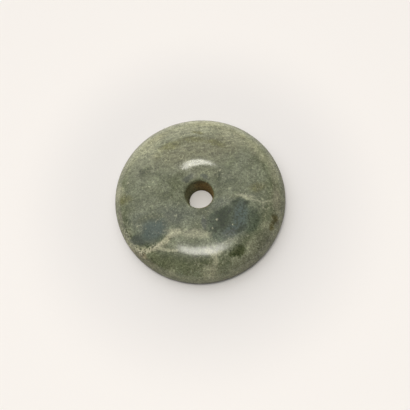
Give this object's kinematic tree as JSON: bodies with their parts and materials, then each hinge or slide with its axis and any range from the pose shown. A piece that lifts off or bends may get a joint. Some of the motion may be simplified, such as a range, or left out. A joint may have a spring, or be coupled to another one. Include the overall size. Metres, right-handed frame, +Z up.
{
  "type": "perforated chalcedony disc",
  "caption": "Ancient polished green-grey chalcedony disc: a low rounded ring, dished to a small cord hole, lying flat.",
  "frame": {"origin": "middle of the disc's outline, on the flat underside it lies on", "axes": "+Z up through the cord hole, the thin way of the disc; +X to the right in the picture and +Y away from the viewer"},
  "size_m": [0.06, 0.0598, 0.011],
  "materials": {
    "stone": "hand-polished mottled green-grey chalcedony with cream veins, blue-grey clouds and dark green inclusions"
  },
  "bodies": {
    "root": {"chalcedony_disc": "stone"}
  },
  "joints": []
}
